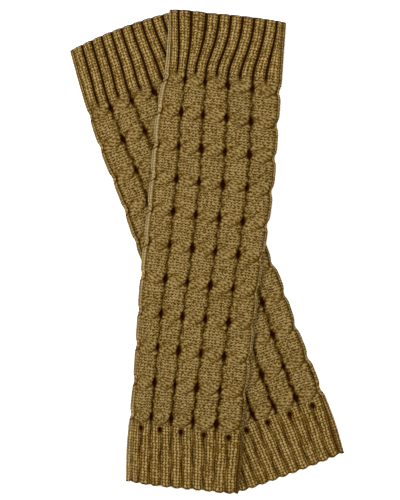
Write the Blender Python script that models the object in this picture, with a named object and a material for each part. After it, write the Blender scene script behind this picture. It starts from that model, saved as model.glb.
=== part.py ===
"""A pair of cable-knit leg warmers, laid flat and crossed.

Each leg warmer is a knitted tube in three pieces: a ribbed top cuff, a leg of five rope cables
on each side, and a ribbed bottom cuff. Each piece is a real hollow wall, pressed flat, with a
thin slit between its back panel, which lies flat on the floor, and its front panel, which
carries the ribs and cables. The over warmer lies across the under warmer and drapes off it on
both sides down to the floor.

Sizes are in millimetres, and MM turns them into Blender's metres. On each warmer, along runs
down its centre line from the top mouth and across runs to the right, both seen from above.
"""
import math
from collections import namedtuple

import bmesh
import bpy

MM = 0.001

# Lengths of the three pieces along each warmer, and the gap between two pieces at a seam
TOP_CUFF_END = 51.4
LEG_END = 375.2
SEAM_GAP = 0.3

# The wall: the back panel, the slit inside the tube, and the front panel at its thinnest
BACK_WALL = 2.6
SLIT = 0.6
FRONT_WALL = 1.6
MOUTH_SLIT = 1.8
MOUTH_REACH = 26.0

# Height of the knitted relief over the thin front wall
CABLE_HEIGHT = 3.0
CROSSING_RISE = 0.35
RIB_HEIGHT = 2.2

# A strand's share of its height where it passes under, and how square ribs and cables are
SUNK_STRAND = 0.3
RIB_SQUARENESS = 0.6
SEAM_SQUARENESS = 0.5

# The fold at each side: how far its last valley and its inner wall lie from the outer edge,
# how much lower that valley is, how far a crossing draws the edge in, and the points round the
# fold, each as its distance in from the edge and its share of the front's height
EDGE_VALLEY = 2.3
EDGE_LOWER = 0.5
FOLD_WALL = 3.2
CROSSING_PINCH = 1.2
FOLD_ROUND = ((0.8, 1.05), (0.0, 0.72), (0.9, 0.3))

# Stitches across the front: five cables of six stitches, each with a purl valley of two
CABLES = 5
CABLE_STITCHES = 8
RIB_STITCHES = 4
FRONT_STITCHES = CABLES * CABLE_STITCHES

# Where each cable and each rib takes its points, in stitches from the valley at its left
CABLE_POINTS = (0.0, 1.4, 3.1, 4.9, 6.6)
RIB_POINTS = (0.0, 0.8, 2.0, 3.2)

# Where each cell of a cable takes its rings, as a share of the cell from its crossing
CELL_RINGS = (-0.14, 0.0, 0.14, 0.5)
CROSSING_REACH = 0.2
STRAND_HALF_WIDTH = 0.33

# Points across the plain inside and the flat underside, and the margins they keep to the edge
BACK_POINTS = 10
INSIDE_MARGIN = 5.5
UNDER_MARGIN = 3.6

# Rings along a cuff, and the least distance from a ring to the end of the leg
CUFF_RINGS = 6
LEAST_RING = 2.0

# The over warmer rests on the under warmer, and reaches the floor this far from its edge
PAIR_GAP = 0.3
DRAPE_START = 1.0
DRAPE_WIDTH = 30.0

Section = namedtuple("Section", "along left right drift")
Warmer = namedtuple(
    "Warmer", "name top_x top_y tilt_deg length first_crossing cell top_bow bottom_bow"
    " sections top_valleys bottom_valleys colour"
)

# A section gives the outer edges across the warmer, and how far its middle valleys drift
OVER = Warmer(
    name="over", top_x=18.5, top_y=213.4, tilt_deg=-5.58, length=428.3,
    first_crossing=60.0, cell=31.0, top_bow=2.2, bottom_bow=1.8,
    sections=(
        Section(0.0, -53.2, 53.3, 0.0),
        Section(25.0, -52.4, 53.8, -3.0),
        Section(50.0, -52.0, 54.6, -6.5),
        Section(75.0, -54.8, 55.2, -4.2),
        Section(100.0, -56.6, 55.8, -2.8),
        Section(140.0, -56.1, 56.8, -1.4),
        Section(180.0, -56.0, 55.6, -0.8),
        Section(220.0, -56.3, 53.2, 0.0),
        Section(260.0, -56.3, 52.1, -1.6),
        Section(300.0, -55.2, 51.6, -3.0),
        Section(340.0, -54.0, 50.6, -4.0),
        Section(375.0, -54.1, 50.2, -4.0),
        Section(400.0, -53.8, 51.6, -2.0),
        Section(428.3, -51.6, 51.2, 0.0),
    ),
    top_valleys=(2.3, 8.9, 20.3, 34.0, 45.4, 56.2, 66.9, 77.4, 87.8, 98.1, 103.0),
    bottom_valleys=(2.3, 11.9, 21.8, 31.6, 41.4, 51.0, 60.8, 70.4, 80.0, 89.6, 99.3),
    colour=(0.19, 0.11, 0.035, 1.0),
)
UNDER = Warmer(
    name="under", top_x=-75.4, top_y=201.1, tilt_deg=20.52, length=428.8,
    first_crossing=61.2, cell=30.6, top_bow=3.4, bottom_bow=0.9,
    sections=(
        Section(0.0, -52.1, 51.2, 0.0),
        Section(25.0, -54.6, 53.0, 0.0),
        Section(50.0, -56.8, 54.8, 0.0),
        Section(94.0, -58.8, 56.6, 0.0),
        Section(143.0, -57.9, 55.8, 0.0),
        Section(190.0, -59.2, 54.0, 0.0),
        Section(235.0, -57.0, 52.2, 0.0),
        Section(260.0, -55.4, 53.6, 0.0),
        Section(305.0, -54.6, 52.0, 0.0),
        Section(350.0, -54.2, 53.5, 0.0),
        Section(400.0, -54.1, 54.6, 0.0),
        Section(428.8, -53.2, 52.6, 0.0),
    ),
    top_valleys=(2.3, 12.1, 21.8, 31.6, 41.3, 51.1, 60.8, 70.6, 80.3, 90.1, 99.8),
    bottom_valleys=(2.3, 12.3, 22.3, 32.3, 42.3, 52.3, 62.3, 72.3, 82.3, 92.3, 102.3),
    colour=(0.165, 0.095, 0.03, 1.0),
)


def smooth(value):
    """A smooth step from 0 to 1 as value goes from 0 to 1."""
    value = min(max(value, 0.0), 1.0)
    return value * value * (3.0 - 2.0 * value)


def curve_through(xs, ys, x):
    """The height at x of a smooth curve through the points, flat past its ends."""
    x = min(max(x, xs[0]), xs[-1])
    i = max(k for k in range(len(xs) - 1) if xs[k] <= x)
    span = xs[i + 1] - xs[i]
    t = (x - xs[i]) / span

    def slope(k):
        low, high = max(k - 1, 0), min(k + 1, len(xs) - 1)
        return (ys[high] - ys[low]) / (xs[high] - xs[low]) * span

    rise = ys[i + 1] - ys[i]
    a, b = slope(i) - rise, rise - slope(i + 1)
    return ys[i] + t * rise + t * (1 - t) * (a * (1 - t) + b * t)


def section_at(warmer, along):
    """Left edge, right edge and drift of the middle valleys at a place along the warmer."""
    places = [row.along for row in warmer.sections]
    return (
        curve_through(places, [row.left for row in warmer.sections], along),
        curve_through(places, [row.right for row in warmer.sections], along),
        curve_through(places, [row.drift for row in warmer.sections], along),
    )


def stitch_across(warmer, stitch, along):
    """Where a stitch column lies across the warmer, on its front."""
    left, right, drift = section_at(warmer, along)
    share = stitch / FRONT_STITCHES
    inner = right - left - 2 * EDGE_VALLEY
    plain = left + EDGE_VALLEY + inner * share + drift * 4 * share * (1 - share)
    if along < TOP_CUFF_END:
        valleys, from_mouth, cuff = warmer.top_valleys, along, TOP_CUFF_END
    elif along > LEG_END:
        valleys = warmer.bottom_valleys
        from_mouth, cuff = warmer.length - along, warmer.length - LEG_END
    else:
        return plain
    places = [k * RIB_STITCHES for k in range(len(valleys))]
    at_mouth = left + curve_through(places, valleys, stitch)
    part = smooth(from_mouth / cuff)
    return at_mouth + (plain - at_mouth) * part


def strand(across, centre):
    """Rounded height of one cable strand, across the cable from 0 to 1."""
    reach = (across - centre) / STRAND_HALF_WIDTH
    return math.sqrt(max(0.0, 1.0 - reach * reach))


def from_crossing(warmer, along):
    """Distance to the nearest crossing as a share of a cell, from -0.5 above to 0.5 below."""
    cells = (along - warmer.first_crossing) / warmer.cell
    return cells - round(cells)


def cable_relief(warmer, stitch, along):
    """Height of the crossing strands over the thin front wall."""
    across = (stitch % CABLE_STITCHES - 1.0) / (CABLE_STITCHES - 2.0)
    offset = from_crossing(warmer, along)
    turn = 2.0 * smooth(0.5 + 0.5 * offset / CROSSING_REACH) - 1.0
    near = 1.0 - min(abs(offset) / CROSSING_REACH, 1.0)
    over = strand(across, 0.5 - 0.25 * turn) * (CABLE_HEIGHT + CROSSING_RISE * near)
    sunk = 1.0 - (1.0 - SUNK_STRAND) * near
    under = strand(across, 0.5 + 0.25 * turn) * CABLE_HEIGHT * sunk
    return max(over, under, 0.0)


def rib_relief(warmer, stitch, along):
    """Height of the cuff's ribs, whose every second valley fades out towards the leg."""
    seam = TOP_CUFF_END if along <= TOP_CUFF_END else LEG_END
    fade = 1.0 - smooth(abs(along - seam) / (2 * RIB_STITCHES))
    place = stitch % CABLE_STITCHES
    rib = math.sin(math.pi * (place % RIB_STITCHES) / RIB_STITCHES) ** RIB_SQUARENESS
    cable = math.sin(math.pi * place / CABLE_STITCHES) ** SEAM_SQUARENESS
    return RIB_HEIGHT * (rib + (cable - rib) * fade)


def slit_at(warmer, along):
    """Height of the slit inside the tube, which opens a little towards each mouth."""
    from_mouth = min(along, warmer.length - along)
    return MOUTH_SLIT + (SLIT - MOUTH_SLIT) * smooth(from_mouth / MOUTH_REACH)


def outer_section(warmer, along, relief, columns):
    """Outside of the wall as (across, up) points: the front, a fold, the back and a fold."""
    left, right, _ = section_at(warmer, along)
    if relief is cable_relief:
        near = 1.0 - min(abs(from_crossing(warmer, along)) / CROSSING_REACH, 1.0)
        left += CROSSING_PINCH * near
        right -= CROSSING_PINCH * near
    front = BACK_WALL + slit_at(warmer, along) + FRONT_WALL
    points = []
    for stitch in columns:
        lower = EDGE_LOWER if stitch in (0, FRONT_STITCHES) else 0.0
        height = front + relief(warmer, stitch, along) - lower
        points.append((stitch_across(warmer, stitch, along), height))
    fold = [(inset, share * front) for inset, share in FOLD_ROUND]
    points += [(right - inset, height) for inset, height in fold]
    low, high = left + UNDER_MARGIN, right - UNDER_MARGIN
    for k in range(BACK_POINTS):
        points.append((high + (low - high) * k / (BACK_POINTS - 1), 0.0))
    points += [(left + inset, height) for inset, height in reversed(fold)]
    return points


def inner_section(warmer, along):
    """Plain inside of the wall as (across, up) points, in the same order as the outside."""
    left, right, _ = section_at(warmer, along)
    floor = BACK_WALL
    roof = BACK_WALL + slit_at(warmer, along)
    low, high = left + INSIDE_MARGIN, right - INSIDE_MARGIN
    steps = [k / (BACK_POINTS - 1) for k in range(BACK_POINTS)]
    points = [(low + (high - low) * step, roof) for step in steps]
    points.append((right - FOLD_WALL, (floor + roof) / 2))
    points += [(high + (low - high) * step, floor) for step in steps]
    points.append((left + FOLD_WALL, (floor + roof) / 2))
    return points


def mouth_bow(warmer, across, along):
    """How far the mouth's edge bows out past its corners, fading along the cuff."""
    left, right, _ = section_at(warmer, along)
    share = (across - left) / (right - left)
    arch = max(0.0, 4.0 * share * (1.0 - share))
    top = warmer.top_bow * (1.0 - smooth(along / TOP_CUFF_END))
    bottom = warmer.bottom_bow * smooth((along - LEG_END) / (warmer.length - LEG_END))
    return arch * (bottom - top)


def to_floor(warmer, across, along):
    """A place on the warmer as x and y on the floor."""
    turn = math.radians(warmer.tilt_deg)
    x = warmer.top_x + across * math.cos(turn) + along * math.sin(turn)
    y = warmer.top_y + across * math.sin(turn) - along * math.cos(turn)
    return x, y


def outside(warmer, x, y):
    """Distance of a place on the floor outside the warmer's outline, negative inside it."""
    turn = math.radians(warmer.tilt_deg)
    dx, dy = x - warmer.top_x, y - warmer.top_y
    across = dx * math.cos(turn) + dy * math.sin(turn)
    along = dx * math.sin(turn) - dy * math.cos(turn)
    left, right, _ = section_at(warmer, along)
    side = max(left - across, across - right)
    end = max(-along, along - warmer.length)
    if side > 0.0 and end > 0.0:
        return math.hypot(side, end)
    return max(side, end)


def drape(warmer, x, y):
    """How high the floor of a warmer lies at a place: on the under warmer or down beside it."""
    if warmer is UNDER:
        return 0.0
    thickness = BACK_WALL + SLIT + FRONT_WALL + CABLE_HEIGHT + CROSSING_RISE
    fall = smooth((outside(UNDER, x, y) - DRAPE_START) / DRAPE_WIDTH)
    return (thickness + PAIR_GAP) * (1.0 - fall)


def place_ring(warmer, points, along):
    """The section's points in the scene, draped, in metres."""
    ring = []
    for across, height in points:
        x, y = to_floor(warmer, across, along + mouth_bow(warmer, across, along))
        ring.append((x * MM, y * MM, (height + drape(warmer, x, y)) * MM))
    return ring


def add_rim(bm, outer, inner):
    """Faces of an end rim: a loft between the unlike outside and inside rings."""
    i = j = 0
    while i < len(outer) or j < len(inner):
        out, into = outer[i % len(outer)], inner[j % len(inner)]
        next_out, next_into = outer[(i + 1) % len(outer)], inner[(j + 1) % len(inner)]
        along_outer = (next_out.co - into.co).length < (next_into.co - out.co).length
        if j == len(inner) or (along_outer and i < len(outer)):
            bm.faces.new((out, next_out, into))
            i += 1
        else:
            bm.faces.new((out, next_into, into))
            j += 1


def add_tube(bm, rings):
    """Faces of a tube, lofted through rings with like numbers of points."""
    rings = [[bm.verts.new(point) for point in ring] for ring in rings]
    for upper, lower in zip(rings, rings[1:]):
        for k in range(len(upper)):
            j = (k + 1) % len(upper)
            bm.faces.new((upper[k], upper[j], lower[j], lower[k]))
    return rings


def yarn_material(warmer):
    """The yarn's colour, matt."""
    material = bpy.data.materials.new(warmer.name + "_yarn")
    material.use_nodes = True
    shader = material.node_tree.nodes["Principled BSDF"]
    shader.inputs["Base Color"].default_value = warmer.colour
    shader.inputs["Roughness"].default_value = 0.9
    shader.inputs["Metallic"].default_value = 0.0
    return material


def knit_piece(warmer, piece, places, relief, columns, collection):
    """One piece of the tube as a hollow wall: an outside, a plain inside and two end rims."""
    bm = bmesh.new()
    outer = add_tube(bm, [
        place_ring(warmer, outer_section(warmer, along, relief, columns), along)
        for along in places
    ])
    inside_places = places[:-1:2] + places[-1:]
    inner = add_tube(bm, [
        place_ring(warmer, inner_section(warmer, along), along) for along in inside_places
    ])
    for end in (0, -1):
        add_rim(bm, outer[end], inner[end])
    bmesh.ops.recalc_face_normals(bm, faces=bm.faces)
    bmesh.ops.triangulate(bm, faces=bm.faces)
    name = warmer.name + "_" + piece
    mesh = bpy.data.meshes.new(name)
    bm.to_mesh(mesh)
    bm.free()
    mesh.materials.append(yarn_material(warmer))
    collection.objects.link(bpy.data.objects.new(name, mesh))


def front_columns(points, width):
    """Stitch columns of the front's points, for a pattern of the given width."""
    repeats = FRONT_STITCHES // width
    columns = [repeat * width + point for repeat in range(repeats) for point in points]
    return columns + [FRONT_STITCHES]


def even_places(start, end, rings):
    """Places of evenly spread rings along a piece."""
    return [start + (end - start) * k / (rings - 1) for k in range(rings)]


def cable_places(warmer, start, end):
    """Places of the leg's rings: its two ends, and the same few in each cell of the cables."""
    cells = int((end - warmer.first_crossing) / warmer.cell) + 1
    places = [
        warmer.first_crossing + (cell + share) * warmer.cell
        for cell in range(-1, cells + 1) for share in CELL_RINGS
    ]
    inner = [p for p in sorted(places) if start + LEAST_RING < p < end - LEAST_RING]
    return [start] + inner + [end]


def build_warmer(warmer, collection):
    """The three pieces of one leg warmer."""
    half = SEAM_GAP / 2
    ribs = front_columns(RIB_POINTS, RIB_STITCHES)
    cables = front_columns(CABLE_POINTS, CABLE_STITCHES)
    top = even_places(0.0, TOP_CUFF_END - half, CUFF_RINGS)
    leg = cable_places(warmer, TOP_CUFF_END + half, LEG_END - half)
    bottom = even_places(LEG_END + half, warmer.length, CUFF_RINGS)
    knit_piece(warmer, "top_cuff", top, rib_relief, ribs, collection)
    knit_piece(warmer, "leg", leg, cable_relief, cables, collection)
    knit_piece(warmer, "bottom_cuff", bottom, rib_relief, ribs, collection)


for old in list(bpy.data.objects):
    bpy.data.objects.remove(old)
pair = bpy.data.collections.new("leg_warmers")
bpy.context.scene.collection.children.link(pair)
for side in (UNDER, OVER):
    build_warmer(side, pair)
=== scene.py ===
import math

import bpy
import numpy as np
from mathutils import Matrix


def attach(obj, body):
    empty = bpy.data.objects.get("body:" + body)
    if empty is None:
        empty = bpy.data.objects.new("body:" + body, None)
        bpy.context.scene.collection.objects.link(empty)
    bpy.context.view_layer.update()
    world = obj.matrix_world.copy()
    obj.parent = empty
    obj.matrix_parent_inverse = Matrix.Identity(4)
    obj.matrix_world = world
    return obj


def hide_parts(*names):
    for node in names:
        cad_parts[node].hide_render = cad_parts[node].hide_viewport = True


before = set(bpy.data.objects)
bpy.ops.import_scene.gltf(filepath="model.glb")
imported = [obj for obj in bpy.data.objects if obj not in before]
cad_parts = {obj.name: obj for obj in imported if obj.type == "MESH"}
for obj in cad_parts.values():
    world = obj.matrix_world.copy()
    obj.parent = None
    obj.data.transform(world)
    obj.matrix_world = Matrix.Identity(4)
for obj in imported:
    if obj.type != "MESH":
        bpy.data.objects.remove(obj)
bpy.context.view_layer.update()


# The floor is a plain pale matt board. It is the stage that the pair is laid on and no part of
# it, and it lies a hair below the cloth so that no face of the two coincides.
FLOOR_SIZE = 8.0
FLOOR_HEIGHT = -0.0002
FLOOR_COLOUR = (0.93, 0.93, 0.93, 1)
FLOOR_ROUGHNESS = 0.9

floor_material = bpy.data.materials.new("pale_floor")
floor_material.use_nodes = True
floor_shader = floor_material.node_tree.nodes["Principled BSDF"]
floor_shader.inputs["Base Color"].default_value = FLOOR_COLOUR
floor_shader.inputs["Roughness"].default_value = FLOOR_ROUGHNESS
bpy.ops.object.select_all(action="DESELECT")
bpy.ops.mesh.primitive_plane_add(size=FLOOR_SIZE, location=(0, 0, FLOOR_HEIGHT))
floor = bpy.context.object
floor.name = "floor"
floor.data.transform(floor.matrix_world)
floor.matrix_world.identity()
floor.data.materials.append(floor_material)


# The under warmer's top cuff is a band of twenty ribs, each of three knit stitches beside one
# purl stitch that sinks between them, knitted in the round in a matt olive brown yarn. It lies
# flat, its mouth a little open, beneath one corner of the other warmer.

# Along runs down a warmer from its top mouth and across runs to its right, both in millimetres.
# A column counts stitches round the tube, forty on the front and then forty underneath.
MM = 0.001
TOP_CUFF_END = 51.4
LEG_END = 375.2
FRONT_STITCHES = 40
ROUND_STITCHES = 80
RIB_STITCHES = 4
KNIT_STITCHES = 3
CABLE_STITCHES = 8
CELL_ROWS = 12

# The walls of the tube, the slit between them and how its two long edges fold
BACK_WALL = 2.6
FRONT_WALL = 1.6
SLIT = 0.6
MOUTH_SLIT = 1.8
MOUTH_REACH = 26.0
EDGE_VALLEY = 2.3
EDGE_LOWER = 0.8
EDGE_LOWER_STITCHES = 2.2
# How much the fold band is lightened with painted light
FOLD_PAINTED_LIGHT = 0.45
FOLD_RADIUS = 2.8
FOLD_PLACES = (0, 60, 150, 250, 310, 375, 428)
FOLD_HALF = 0.52
FOLD_DROP = 0.4
FOLD_FLAT = 0.35
FOLD_SPREAD = 12.0
INSIDE_FOLD = 0.8
INSIDE_MARGIN = 5.5
PINCH_LEFT = 1.3
PINCH_RIGHT = 2.0
PINCH_ROWS = 1.8

# How far ribs and stitches stand out, and how much of that the underside keeps
RIB_HEIGHT = 1.9
VALLEY_CARVE = 0.5
STITCH_RELIEF = 0.42
STITCH_LOW = 0.3
PRESSED_RELIEF = 0.8
PRESSED_STITCH = 0.3
PRESSED_EDGE = 0.3
LEG_LEAN = 0.4
RIDGE_SHARPNESS = 2.2
GROOVE_DEPTH = 0.7
GROOVE_WIDTH = 0.3
CROSSING_CALM = 0.3
CALM_ROWS = 2.6

# The open mouths, where the knitting rolls a little and each rib ends in a small tab, with painted
# shade along the rolled edge
MOUTH_WAVE = 0.9
MOUTH_LEVEL = 0.6
MOUTH_STITCH = 0.35
MOUTH_ROLL = 1.6
MOUTH_FADE = 2.0
MOUTH_PAINTED_SHADE = 0.75
MOUTH_PAINTED_SHADE_REACH = 0.5
TAB_REACH = 1.6
TAB_WIDTH = 0.9
EDGE_ROLL = 0.5
CORNER_ROUND = 2.2
CORNER_STITCHES = 1.3
CORNER_REACH = 3.0

# How closely the mesh follows the stitches
SAMPLES_PER_STITCH = 4
FOLD_SAMPLES = 10
FOLD_STITCHES = 4.5
UNDERSIDE_SAMPLES = 60
SAMPLES_PER_ROW = 3
INSIDE_STEP = 9.0

# One warmer's place and shape. Widths, drift and the valleys at the mouths are in millimetres,
# left and right of the tube's own line. At FOLD_PLACES down each fold, _valley says how far in
# the first valley lies, _line how dark its painted shade is, and the last how much painted light
# the fold beyond it gets, or painted shade where it is under nought. line scales the painted
# shade of the valleys between cables.
under = dict(
    name="under", line=1.35, top=(-75.4, 201.1), tilt=math.radians(20.52), length=428.8,
    first_crossing=61.2, cell=30.6, top_bow=3.4, bottom_bow=0.9, phase=0.7,
    along=(0, 25, 50, 94, 143, 190, 235, 260, 305, 350, 400, 428.8),
    left=(-53.2, -55.6, -57.5, -59.3, -58.3, -59.4, -57.2, -55.4, -54.6, -54.2, -54.1, -53.2),
    right=(51.2, 53.0, 54.8, 56.6, 55.8, 54.0, 52.8, 54.4, 53.2, 54.2, 55.0, 52.8),
    drift=(0, -1.0, -4.0, -2.0, 0, 0, 0, 0, -1.5, -3.5, -2.0, 0),
    row_shift=(0,) * 11,
    row_tilt=(0,) * 11,
    left_valley=(2.3, 2.5, 3.4, 3.2, 2.8, 2.8, 2.8),
    right_valley=(2.0, 2.0, 2.0, 2.0, 2.1, 3.6, 3.0),
    left_line=(0.7, 0.9, 1.0, 1.0, 0.8, 0.8, 0.8),
    right_line=(0.7, 0.7, 0.7, 0.9, 0.9, 0.9, 1.0),
    left_painted_light=(0.6, 0.6, 0.6, 0.6, 0.6, 0.6, 0.6),
    right_painted_light=(0.3, 0.3, 0.3, 0.0, 0.0, 0.0, 0.2),
    top_valleys=(2.3, 12.1, 21.8, 31.6, 41.3, 51.1, 60.8, 70.6, 80.3, 90.1, 99.8),
    bottom_valleys=(2.3, 12.3, 22.3, 32.3, 42.3, 52.3, 62.3, 72.3, 82.3, 92.4, 102.0),
)


def smooth(value):
    # Eases from nought to one
    value = np.clip(value, 0.0, 1.0)
    return value * value * (3.0 - 2.0 * value)


def bell(distance, width):
    # One at a distance of nought, falling to nought past its width
    return np.exp(-((distance / width) ** 2))


def curve_through(xs, ys, x):
    # A smooth curve through a row of points, level beyond its ends
    xs, ys = np.array(xs, float), np.array(ys, float)
    x = np.clip(x, xs[0], xs[-1])
    i = np.clip(np.searchsorted(xs, x, side="right") - 1, 0, len(xs) - 2)
    span = xs[i + 1] - xs[i]
    t = (x - xs[i]) / span

    def slope(k):
        low, high = np.maximum(k - 1, 0), np.minimum(k + 1, len(xs) - 1)
        return (ys[high] - ys[low]) / (xs[high] - xs[low]) * span

    rise = ys[i + 1] - ys[i]
    a, b = slope(i) - rise, rise - slope(i + 1)
    return ys[i] + t * rise + t * (1 - t) * (a * (1 - t) + b * t)


def edges(warmer, along):
    # The two long edges of the flat tube
    left = curve_through(warmer["along"], warmer["left"], along)
    return left, curve_through(warmer["along"], warmer["right"], along)


def fold_valleys(warmer, along):
    # How far in from its two long edges the first and the last valley of the front lie
    sides = ("left_valley", "right_valley")
    return [curve_through(FOLD_PLACES, warmer[side], along) for side in sides]


def column_across(warmer, column, along):
    # Where a column of the front lies, spread evenly on the leg and fanned out at both mouths
    left, right = edges(warmer, along)
    drift = curve_through(warmer["along"], warmer["drift"], along)
    share = column / FRONT_STITCHES
    inner = right - left - 2 * EDGE_VALLEY
    inset_left, inset_right = fold_valleys(warmer, along)
    inset = (inset_left - EDGE_VALLEY) * np.exp(-column / FOLD_SPREAD) * (1.0 - share)
    from_right = FRONT_STITCHES - column
    inset = inset - (inset_right - EDGE_VALLEY) * np.exp(-from_right / FOLD_SPREAD) * share
    plain = left + EDGE_VALLEY + inner * share + drift * 4 * share * (1 - share)
    places = [k * RIB_STITCHES for k in range(len(warmer["top_valleys"]))]
    at_top = left + curve_through(places, warmer["top_valleys"], column)
    at_bottom = left + curve_through(places, warmer["bottom_valleys"], column)
    from_top = smooth(along / TOP_CUFF_END)
    from_bottom = smooth((warmer["length"] - along) / (warmer["length"] - LEG_END))
    across = at_top + (plain - at_top) * from_top
    return at_bottom + (across - at_bottom) * from_bottom + inset


def rows_at(warmer, along, column):
    # Rows counted from the first crossing; they run a little uneven and aslant over the front
    middle = FRONT_STITCHES / CABLE_STITCHES / 2
    from_middle = (FRONT_STITCHES - np.abs(column - FRONT_STITCHES)) / CABLE_STITCHES - middle
    cells = (along - warmer["first_crossing"]) / warmer["cell"]
    places = np.arange(len(warmer["row_shift"]))
    tilt = curve_through(places, warmer["row_tilt"], cells)
    shift = curve_through(places, warmer["row_shift"], cells) + tilt * from_middle
    return (along - shift - warmer["first_crossing"]) / warmer["cell"] * CELL_ROWS


def stitch_form(u, v, grooves):
    # A stitch is a V, two plump legs that lean down and together, with a groove between them
    lean = np.abs(2.0 * (u % 1.0) - 1.0)
    phase = (v + LEG_LEAN * lean) % 1.0
    ridge = 1.0 - np.abs(2.0 * phase - 1.0) ** RIDGE_SHARPNESS
    groove = 1.0 - GROOVE_DEPTH * grooves * bell(lean, GROOVE_WIDTH)
    return groove * (STITCH_LOW + (1.0 - STITCH_LOW) * ridge)


# How deep the grooves between stitches are on the top cuff, and how that changes further down
TOP_GROOVES = 0.6
LEG_LOSS = 0.45
LEG_START = TOP_CUFF_END - 4.0
LEG_EASE = 10.0
BOTTOM_GAIN = 0.65
BOTTOM_START = LEG_END - 2.0
BOTTOM_EASE = 4.0


def grooves_at(along):
    # The cuffs' ribs are tight and stand out stitch by stitch, the leg is looser and flatter
    on_leg = smooth((along - LEG_START) / LEG_EASE)
    on_bottom = smooth((along - BOTTOM_START) / BOTTOM_EASE)
    return TOP_GROOVES - LEG_LOSS * on_leg + BOTTOM_GAIN * on_bottom


def dome(distance, sharpness):
    # A round back, one in its middle and nought at a distance of one
    return np.sqrt(1.0 - np.clip(np.abs(distance), 0.0, 1.0) ** sharpness)


def from_folds(column):
    # How many stitches a column lies from the tube's left fold and from its right one
    return np.minimum(column, ROUND_STITCHES - column), np.abs(column - FRONT_STITCHES)


def at_fold(column):
    # One in the valleys where the tube folds, at its two long sides, where they are pulled open
    return [bell(stitches, 1.0) for stitches in from_folds(column)]


def fold_fade(warmer, along, column):
    # How strongly the painted shade of the valleys and holes at the two folds shows, against those
    # on the front
    left, right = at_fold(column)
    sides = ("left_line", "right_line")
    seen_left, seen_right = [curve_through(FOLD_PLACES, warmer[side], along) for side in sides]
    return 1.0 - left * (1.0 - seen_left) - right * (1.0 - seen_right)


def wave(place, turn, which, step, phase=0.0):
    # Knitting is never quite even: a wave that starts elsewhere for each valley or crossing
    return np.sin(turn * place + step * which + phase)


# Ribs of a top cuff have sharp valleys. Those of a bottom cuff, the LOW ones, are soft and worn,
# and every second valley of theirs starts at an eyelet. Valleys, eyelets and the middle of each
# top rib are darkened with painted shade. Widths are in stitches.
RIB_MARGIN = 0.36
RIB_SHARPNESS = 4.0
RIB_LINE = 0.70
RIB_LINE_SOFT = 0.42
MID_RIB_PAINTED_SHADE = 0.15
MID_RIB_WIDTH = 0.3
LOW_MARGIN = 0.2
LOW_RIB_HEIGHT = 1.5
LOW_KEPT = 0.82
LOW_WORN = 0.18
LOW_SWAY = 0.22
LOW_LINE = 0.36
LOW_SKIRT = 0.38
LOW_SKIRT_WIDTH = 0.6
EYELET_ALONG = 379.6
EYELET_LENGTH = 2.4
EYELET_EASE = 2.0
EYELET_OPEN = 0.35
EYELET_PAINTED_SHADE = 1.6
EYELET_WIDTH = 0.85
SLACK_LEFT = 0.35
SLACK_RIGHT = 0.65


def rib_columns():
    # Samples of one rib, four to a stitch, with one down in the valley
    samples = KNIT_STITCHES * SAMPLES_PER_STITCH + 1
    inner = np.linspace(RIB_MARGIN, RIB_STITCHES - RIB_MARGIN, samples)
    return np.concatenate([[0.0], inner])


def rib_knit(warmer, column, along, crossing=None):
    # Relief, form, painted shade, strand and stitch place of ribs, which have no crossing
    rib, place = np.floor(column / RIB_STITCHES), column % RIB_STITCHES
    low = along > 0.5 * LEG_END
    opening = bell(along - EYELET_ALONG, EYELET_LENGTH)
    eyelet = np.where(low & (rib % 2 == 0), opening, 0)
    before = np.where(low & (rib % 2 == 1), opening, 0)
    eyelet = np.where(place > 0.5 * RIB_STITCHES, eyelet, before)
    margin = np.where(low, LOW_MARGIN + EYELET_OPEN * eyelet, RIB_MARGIN)
    across = (place - margin) / (RIB_STITCHES - 2 * margin)
    form = dome(2.0 * across - 1.0, RIB_SHARPNESS)
    valley = np.round(column / RIB_STITCHES)
    worn = wave(along, turn=0.19, which=valley, step=2.3, phase=warmer["phase"])
    worn = LOW_KEPT + LOW_WORN * worn
    past_eyelet = smooth((along - EYELET_ALONG + 0.5 * EYELET_EASE) / EYELET_EASE)
    worn = worn * np.where(valley % 2 == 1, past_eyelet, 1.0)
    kept = np.where(low, np.maximum(np.clip(worn, 0.0, 1.0), eyelet), 1.0)
    left, right = at_fold(column)
    form = 1.0 - (1.0 - form) * kept * (1.0 - SLACK_LEFT * left - SLACK_RIGHT * right)
    height = np.where(low, LOW_RIB_HEIGHT, RIB_HEIGHT)
    relief = height * form - VALLEY_CARVE * (1.0 - form)
    sway = np.where(low, LOW_SWAY * wave(along, turn=0.24, which=valley, step=2.7), 0.0)
    on_front = valley % (FRONT_STITCHES / RIB_STITCHES) != 0
    from_valley = np.abs(column - valley * RIB_STITCHES - sway * on_front)
    # Painted shade along each valley, and a fainter one down the middle of each top rib
    painted_shading = smooth((RIB_LINE - from_valley) / RIB_LINE_SOFT)
    painted_shading = np.maximum(painted_shading, MID_RIB_PAINTED_SHADE * bell(place - 0.5 * RIB_STITCHES, MID_RIB_WIDTH))
    # A bottom cuff's painted shade is softer, with a skirt beside each valley and more in each
    # eyelet and along the right fold
    soft_painted_shade = kept * bell(from_valley, LOW_LINE)
    soft_painted_shade = np.maximum(soft_painted_shade, LOW_SKIRT * np.exp(-from_valley / LOW_SKIRT_WIDTH))
    soft_painted_shade = soft_painted_shade + EYELET_PAINTED_SHADE * eyelet * bell(from_valley, EYELET_WIDTH)
    soft_painted_shade = np.maximum(soft_painted_shade, right * bell(from_valley, LOW_SKIRT_WIDTH))
    painted_shading = np.where(low, soft_painted_shade, painted_shading) * fold_fade(warmer, along, column)
    strand = (KNIT_STITCHES * (across + rib) + 1.0, rows_at(warmer, along, column))
    return relief, form, np.clip(painted_shading, 0.0, 1.0), np.zeros(column.shape, int), [strand]


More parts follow.
